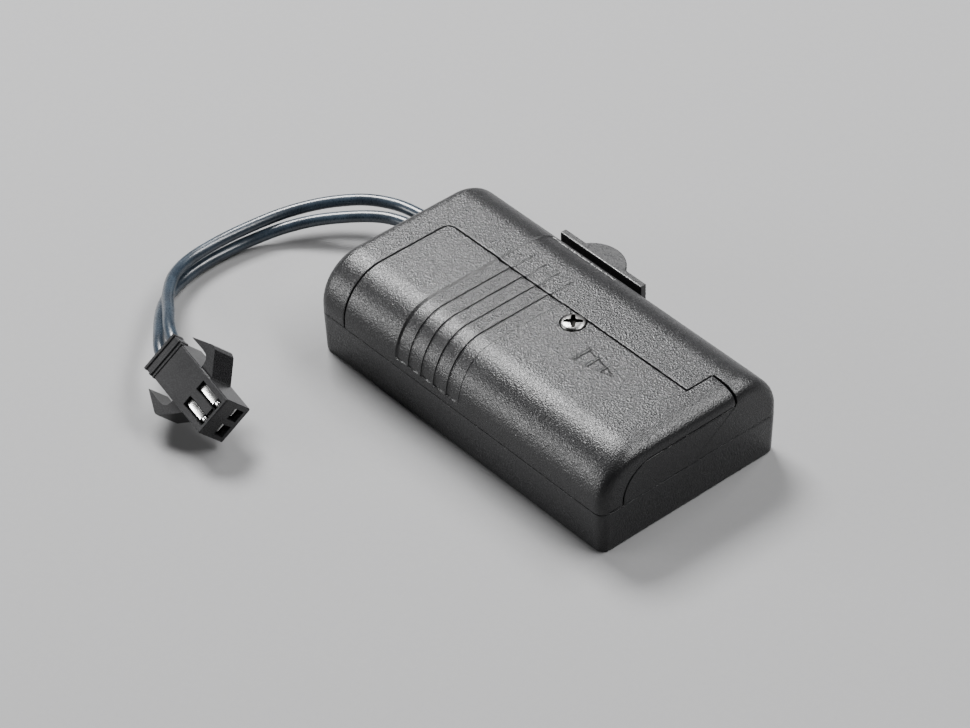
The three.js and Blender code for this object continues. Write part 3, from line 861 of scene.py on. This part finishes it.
def build_tray():
    """The lower shell with its wire holes, open screw post, ribs and clip root."""
    top = SEAM_HEIGHT - SEAM_GAP / 2
    r = 0.07
    foot = 0.3
    wall = TRAY_WALL
    rows = [(wall, TRAY_FLOOR), (wall, 3), (wall, top - r), (wall - 0.3 * r, top - 0.3 * r), (wall - r, top)]
    rows += [(r, top), (0.3 * r, top - 0.3 * r), (0, top - r), (0, top - 0.5)]
    rows.append((TRAY_DRAFT * 0.9, foot + 0.3))
    for a in (0, 18, 36, 54, 72, 90):
        angle = math.radians(a)
        rows.append((TRAY_DRAFT + foot * (1 - math.cos(angle)), foot * (1 - math.sin(angle))))
    points, faces = [], []
    for inset, z in rows:
        points += [(x, y, z) for x, y in tray_outline(inset)]
    count = len(tray_outline(0))
    for row in range(len(rows) - 1):
        for i in range(count):
            j = (i + 1) % count
            faces.append((row * count + i, row * count + j, (row + 1) * count + j, (row + 1) * count + i))
    faces.append(tuple(range(count)))
    faces.append(tuple(range((len(rows) - 1) * count, len(rows) * count)))
    tray = tidy(new_object("tray_skin", points, faces, tray_skin))
    holes = []
    for y in WIRE_HOLES:
        start, end = -HALF_L - 1, -HALF_L + 3
        profile = [(0, start), (WIRE_HOLE_RADIUS, start), (WIRE_HOLE_RADIUS, end), (0, end)]
        holes.append(turned_piece("hole", profile, tray_skin, 32, "X", (0, y, WIRE_HEIGHT)))
    cut(tray, holes)
    tidy(tray)
    axis = (SCREW_X, SCREW_Y)
    ring = arc(axis, 1.95, 36, 324, 24) + arc(axis, 1.1, 300, 60, 18)
    post = prism_piece("post", ring, 9, 10.6, tray_skin)
    stem = box_piece("stem", SCREW_X - 1.8, SCREW_X + 1.8, -0.5, 1.9, TRAY_FLOOR - 0.2, 9.1, tray_skin)
    ribs = [box_piece("rib", x - 0.5, x + 0.5, -1.2, 1.2, TRAY_FLOOR - 0.2, 5, tray_skin) for x in (-14, 14)]
    low, high = (Vector(corner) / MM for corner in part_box("belt_clip"))
    root = box_piece("root", low.x + 1.5, high.x - 1.5, HALF_W - 0.6, HALF_W + 1.1, 0.02, 0.3, tray_skin)
    extras = [tidy(bevel(p, 0.08)) for p in [post, stem, root] + ribs]
    return join([tray] + extras)


tray = build_tray()
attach(tray, "case")
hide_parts("bottom_tray")


# ---- wires: the same routes as the frame's tubes, in metres ----
WIRE_DIAMETER = 0.0016
WIRE_1_ROUTE = [
    (-0.0253, 0.0072, 0.0044), (-0.028, 0.0072, 0.0044), (-0.031, 0.00715, 0.0045),
    (-0.0342, 0.0068, 0.00455), (-0.0375, 0.006, 0.0045), (-0.0409, 0.0041, 0.00435),
    (-0.0436, 0.0015, 0.004), (-0.0457, -0.0016, 0.00365), (-0.0474, -0.0055, 0.00325),
    (-0.0484, -0.0104, 0.00295), (-0.0487, -0.015, 0.00285), (-0.0481, -0.0198, 0.00305),
    (-0.0461, -0.0238, 0.0037), (-0.0424, -0.0274, 0.0049), (-0.0383, -0.0303, 0.0063),
    (-0.0353, -0.03245, 0.0072), (-0.03295, -0.0338, 0.0075), (-0.0312, -0.0345, 0.00735),
]
WIRE_2_ROUTE = [
    (-0.0253, 0.00535, 0.0044), (-0.028, 0.0053, 0.0044), (-0.031, 0.005, 0.0044),
    (-0.0347, 0.0043, 0.0043), (-0.0375, 0.003, 0.0041), (-0.0404, 0.0006, 0.0037),
    (-0.0436, -0.0026, 0.00295), (-0.0462, -0.0061, 0.00195), (-0.0479, -0.0107, 0.00115),
    (-0.0484, -0.0152, 0.0009), (-0.048, -0.0193, 0.00095), (-0.0469, -0.0226, 0.0012),
    (-0.0452, -0.0255, 0.0019), (-0.043, -0.0279, 0.0029), (-0.0402, -0.0304, 0.004),
    (-0.0371, -0.0328, 0.005), (-0.03415, -0.03495, 0.0057), (-0.0316, -0.0363, 0.00565),
]


def smooth_route(route, steps=6):
    """Points of a smooth curve through the route (Catmull-Rom)."""
    points = [Vector(p) for p in route]
    dense = []
    for i in range(len(points) - 1):
        p0, p1, p2 = points[max(i - 1, 0)], points[i], points[i + 1]
        p3 = points[min(i + 2, len(points) - 1)]
        for s in range(steps):
            t = s / steps
            dense.append(0.5 * (2 * p1 + (p2 - p0) * t + (2 * p0 - 5 * p1 + 4 * p2 - p3) * t * t
                                + (3 * p1 - p0 - 3 * p2 + p3) * t ** 3))
    return dense + [points[-1]]


def lay_wire(name, route, node):
    """One round wire along its route, in place of the CAD node that it hides."""
    dense = smooth_route(route)
    curve = bpy.data.curves.new(name, "CURVE")
    curve.dimensions = "3D"
    curve.bevel_depth = WIRE_DIAMETER / 2
    curve.bevel_resolution = 6
    curve.use_fill_caps = True
    line = curve.splines.new("POLY")
    line.points.add(len(dense) - 1)
    for slot, point in zip(line.points, dense):
        slot.co = (*point, 1)
    line.use_smooth = True
    curve.materials.append(wire_skin)
    piece = bpy.data.objects.new(name, curve)
    bpy.context.collection.objects.link(piece)
    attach(piece, "case")
    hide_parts(node)
    return piece


# ---- plug ----
PLUG_PLACE = (-28.9, -37.4, 7.9)
PLUG_TURN = (42.5, 7.5, -7.0)
PLUG_LENGTH = 10.7
PLUG_WIDTH = 5.5
PLUG_HEIGHT = 4.85
PLUG_FLANGE = 2.2
CONTACT_PITCH = 2.5


def plug_frame():
    """Where the plug lies: its own X runs from the wires to its nose."""
    turn = Euler([math.radians(a) for a in PLUG_TURN], "XYZ").to_matrix().to_4x4()
    return Matrix.Translation(Vector(PLUG_PLACE) * MM) @ turn


def barb_outline(side):
    """Plan of one side barb: x along the plug and how far out from its side."""
    half = PLUG_WIDTH / 2
    corners = [(6.5, -0.2), (6.4, 0.15), (3.95, 2.7), (3.4, 2.88), (3.1, 2.85), (0.1, 1.55), (0.08, 1.45)]
    corners += [(2.4, 1.5), (3.3, 1.4), (3.85, 1.0), (4.05, 0.4), (4.05, -0.2)]
    outline = [(x, side * (half + out)) for x, out in corners]
    return outline if side > 0 else list(reversed(outline))


def build_plug():
    """The housing: a block with hood, ridges and barbs, hollowed for its two contacts."""
    half = PLUG_WIDTH / 2
    body = box_piece("plug_skin", -0.9, PLUG_LENGTH, -half, half, -PLUG_HEIGHT, 0, plug_skin, False)
    bevel(body, 0.17, 25, 2)
    hood = box_piece("hood", -PLUG_FLANGE, -0.6, -half - 0.05, half + 0.05, -1.7, 0.02, plug_skin, False)
    ridges = [box_piece("ridge", x, x + 0.45, -half - 0.12, half + 0.12, -1.8, 0.18, plug_skin, False)
              for x in (-PLUG_FLANGE, -PLUG_FLANGE + 1.15)]
    brow = box_piece("brow", -0.42, -0.06, -half - 0.08, half + 0.08, -0.5, 0.12, plug_skin, False)
    cut(body, [bevel(p, 0.09, 25, 2) for p in [hood, brow] + ridges], "UNION")
    for side in (1, -1):
        barb = prism_piece("barb", barb_outline(side), -4.4, -0.4, plug_skin, False)
        cut(body, [bevel(barb, 0.12, 40, 2)], "UNION")
    tools = []
    for y in (-CONTACT_PITCH / 2, CONTACT_PITCH / 2):
        tools.append(box_piece("channel", -5, 10.0, y - 0.85, y + 0.85, -4.05, -0.95, plug_skin, False))
        tools.append(box_piece("socket", 8.8, 12, y - 0.85, y + 0.85, -4.1, -2.3, plug_skin, False))
        tools.append(box_piece("window", 5.95, 10.2, y - 0.7, y + 0.7, -1.4, 1, plug_skin, False))
    tools.append(box_piece("web", 9.7, 10.25, -1.6, 1.6, -0.3, 1, plug_skin, False))
    cut(body, tools)
    tidy(body, 0.001, 10)
    body.matrix_world = plug_frame()
    return join([body])


def build_terminal(name, y):
    """Folded tin-plated contact: spring box at the front, lance tongue on top, open crimp barrel behind."""
    cage = box_piece(name, 6.2, 9.9, y - 0.72, y + 0.72, -3.85, -1.45, tin_metal, False)
    cut(cage, [box_piece("bore", 7, 11, y - 0.5, y + 0.5, -3.6, -2.45, tin_metal, False)])
    tongue = box_piece("tongue", 5.75, 9.2, y - 0.54, y + 0.54, -1.6, -0.45, tin_metal, False)
    roll = turned_piece("roll", [(0, 9.0), (0.34, 9.0), (0.5, 9.2), (0.5, 9.55), (0.34, 9.75), (0, 9.75)],
                        tin_metal, 20, "X", (0, y, -1.0), False)
    neck = box_piece("neck", 3.2, 6.4, y - 0.42, y + 0.42, -3.5, -2.4, tin_metal, False)
    barrel = turned_piece("barrel", [(0, -0.2), (0.62, -0.2), (0.66, 1.2), (0.5, 1.5), (0.5, 3.3), (0, 3.3)],
                          tin_metal, 20, "X", (0, y, -2.7), False)
    parts = [bevel(cage, 0.12, 30, 3), bevel(tongue, 0.14, 30, 3), roll, bevel(neck, 0.08), barrel]
    whole = join([tidy(part) for part in parts])
    whole.data.transform(plug_frame())
    return whole


plug = build_plug()
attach(plug, "case")
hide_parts("plug_housing")
for number, offset in ((1, CONTACT_PITCH / 2), (2, -CONTACT_PITCH / 2)):
    terminal = build_terminal(f"terminal_{number}", offset)
    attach(terminal, "case")
    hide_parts(f"crimp_terminal_{number}")

lay_wire("wire_1", WIRE_1_ROUTE, "lead_wire_1")
lay_wire("wire_2", WIRE_2_ROUTE, "lead_wire_2")


# ---- cover screw ----
def cross_outline(reach, tip, root):
    """Plan of a cross-head recess: four arms that widen towards the middle."""
    outline = []
    for arm in range(4):
        turn = math.radians(CROSS_TURN + 90 * arm)
        for along, across in ((root, -root), (reach, -tip), (reach, tip)):
            x = along * math.cos(turn) - across * math.sin(turn)
            y = along * math.sin(turn) + across * math.cos(turn)
            outline.append((SCREW_X + x, SCREW_Y + y))
    return outline


def build_screw():
    """Threaded shank, flat seat and low domed head with a cross recess whose faces are painted dark as
    shade.
    """
    seat = SCREW_SEAT
    top = seat + SCREW_HEAD_RISE
    r = SCREW_HEAD
    core = THREAD_CORE
    profile = [(0, SCREW_TIP), (0.3, SCREW_TIP), (core, THREAD_START)]
    for i in range(THREAD_TURNS):
        z = THREAD_START + i * THREAD_PITCH
        profile += [(core, z + 0.08), (THREAD_CREST, z + 0.2), (core, z + 0.32)]
    profile += [(core, seat - 0.1), (0.85, seat), (r - 0.06, seat), (r, seat + 0.08), (r, seat + 0.72)]
    profile += [(r - 0.03, seat + 0.8), (r - 0.12, seat + 0.88), (r - 0.3, seat + 0.96)]
    profile += [(r - 0.6, seat + 1.02), (r - 1.0, top), (0, top)]
    screw = turned_piece("screw_skin", profile, screw_metal, 64, at=(SCREW_X, SCREW_Y, 0))
    recess = cross_outline(CROSS_REACH, 0.2, 0.36)
    # The cutter's near-black steel passes onto the recess faces: painted shade.
    cut(screw, [prism_piece("cross", recess, top - CROSS_DEPTH, top + 1, painted_shade_metal)])
    return tidy(screw, 0.001, 30)


screw = build_screw()
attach(screw, "screw")
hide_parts("cover_screw")


# ---- belt clip ----
def build_clip():
    """The clip's flat leaf with a half-moon tab at its top edge."""
    low, high = (Vector(corner) / MM - Vector((0, BOX_SHIFT, 0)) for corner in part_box("belt_clip"))
    inner = low.y
    thick = 0.95
    outer = inner + thick
    middle = (low.x + high.x) / 2
    half_tab = 3.7
    reach = high.y - outer
    radius = (half_tab * half_tab + reach * reach) / (2 * reach)
    swing = math.degrees(math.asin(half_tab / radius))
    leaf = box_piece("clip_skin", low.x, high.x, inner, outer, low.z, high.z, clip_skin)
    tab = arc((middle, outer + reach - radius), radius, 90 - swing, 90 + swing, 28)
    tab += [(middle - half_tab, outer - 0.4), (middle + half_tab, outer - 0.4)]
    cut(leaf, [prism_piece("tab", tab, high.z - 0.8, high.z, clip_skin)], "UNION")
    bevel(leaf, 0.2, 40, 3)
    return tidy(leaf, 0.001, 10)


clip = build_clip()
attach(clip, "clip")
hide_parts("belt_clip")


# ---- cells ----
def build_cell(number, direction):
    """One cell: sleeved can and metal end cap; direction is the way its positive end points along X."""
    low, high = (Vector(corner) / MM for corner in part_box(f"battery_cell_{number}"))
    length = high.x - low.x
    radius = (high.z - low.z) / 2
    centre = ((low.y + high.y) / 2 - BOX_SHIFT, (low.z + high.z) / 2)
    start = low.x if direction > 0 else high.x
    full = radius
    jacket = [(0, 0.35), (4.0, 0.35), (4.3, 0.12), (full - 0.35, 0.0), (full - 0.08, 0.12), (full, 0.5)]
    jacket += [(full, length - 1.6), (full - 0.1, length - 1.3)]
    jacket += [(full - 0.5, length - 1.12), (0, length - 1.12)]
    cap = [(0, length - 1.3), (4.2, length - 1.3), (4.3, length - 1.0), (2.3, length - 0.95)]
    cap += [(1.95, length - 0.7), (1.9, length - 0.15), (1.7, length), (0, length)]
    for name, profile, material in (("jacket", jacket, sleeve_skin), ("cap", cap, tin_metal)):
        turned = [(r, start + direction * h) for r, h in profile]
        solid = turned_piece(f"cell_{number}_{name}", turned, material, 56, "X", (0, *centre))
        tidy(solid, 0.001, 40)
        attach(solid, "case")
    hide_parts(f"battery_cell_{number}")


build_cell(1, 1)
build_cell(2, -1)


# ---- CAD pieces that keep their own shape ----
def finish_node(name, material):
    """Gives a carried node its material and leaves its shape alone."""
    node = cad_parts[name]
    node.data.materials.clear()
    node.data.materials.append(material)


for plate in ("negative_plate", "positive_plate", "bridge_plate"):
    finish_node(plate, tin_metal)
for spring in ("negative_spring", "bridge_spring"):
    finish_node(spring, spring_metal)
for joint in ("solder_joint_1", "solder_joint_2"):
    finish_node(joint, solder_metal)
finish_node("inner_lead", wire_skin)


# ---- floor and lights ----
def build_stage():
    """Plain pale paper, the same all over but for a faint mottle."""
    n = Nodes("floor")
    mottle = n.noise(0.9, 3.0, 0.6)
    tint = n.mix_colour(mottle, (0.2, 0.2, 0.202, 1), (0.215, 0.215, 0.217, 1))
    material = n.out(Base_Color=tint, Roughness=0.8, Normal=n.bump(mottle, 0.02, 0.5))
    mesh = bpy.data.meshes.new("floor")
    reach = 3.0
    mesh.from_pydata([(-reach, -reach, 0), (reach, -reach, 0), (reach, reach, 0), (-reach, reach, 0)], [],
                     [(0, 1, 2, 3)])
    mesh.materials.append(material)
    floor = bpy.data.objects.new("floor", mesh)
    bpy.context.collection.objects.link(floor)


def area_light(name, place, size, power):
    """A soft rectangular lamp that points at the origin."""
    light = bpy.data.lights.new(name, "AREA")
    light.shape = "RECTANGLE"
    light.size, light.size_y = size
    light.energy = power
    lamp = bpy.data.objects.new(name, light)
    lamp.location = place
    lamp.rotation_euler = (Vector((0, 0, 0)) - Vector(place)).to_track_quat("-Z", "Y").to_euler()
    bpy.context.collection.objects.link(lamp)


WORLD_COLOUR = (0.9, 0.93, 1.0, 1)
WORLD_STRENGTH = 0.015


def build_lights():
    """A faint sky, the key light, a long light on the clip's side and a low one opposite it."""
    world = bpy.data.worlds.new("world")
    world.use_nodes = True
    sky = world.node_tree.nodes["Background"]
    sky.inputs["Color"].default_value = WORLD_COLOUR
    sky.inputs["Strength"].default_value = WORLD_STRENGTH
    bpy.context.scene.world = world
    area_light("key", place=(-0.38, 0.1, 0.5), size=(0.28, 0.2), power=11.2)
    area_light("rear", place=(0.16, 0.29, 0.5), size=(0.62, 0.1), power=6.4)
    area_light("low", place=(-0.35, -0.46, 0.15), size=(0.32, 0.14), power=3.1)


build_stage()
build_lights()
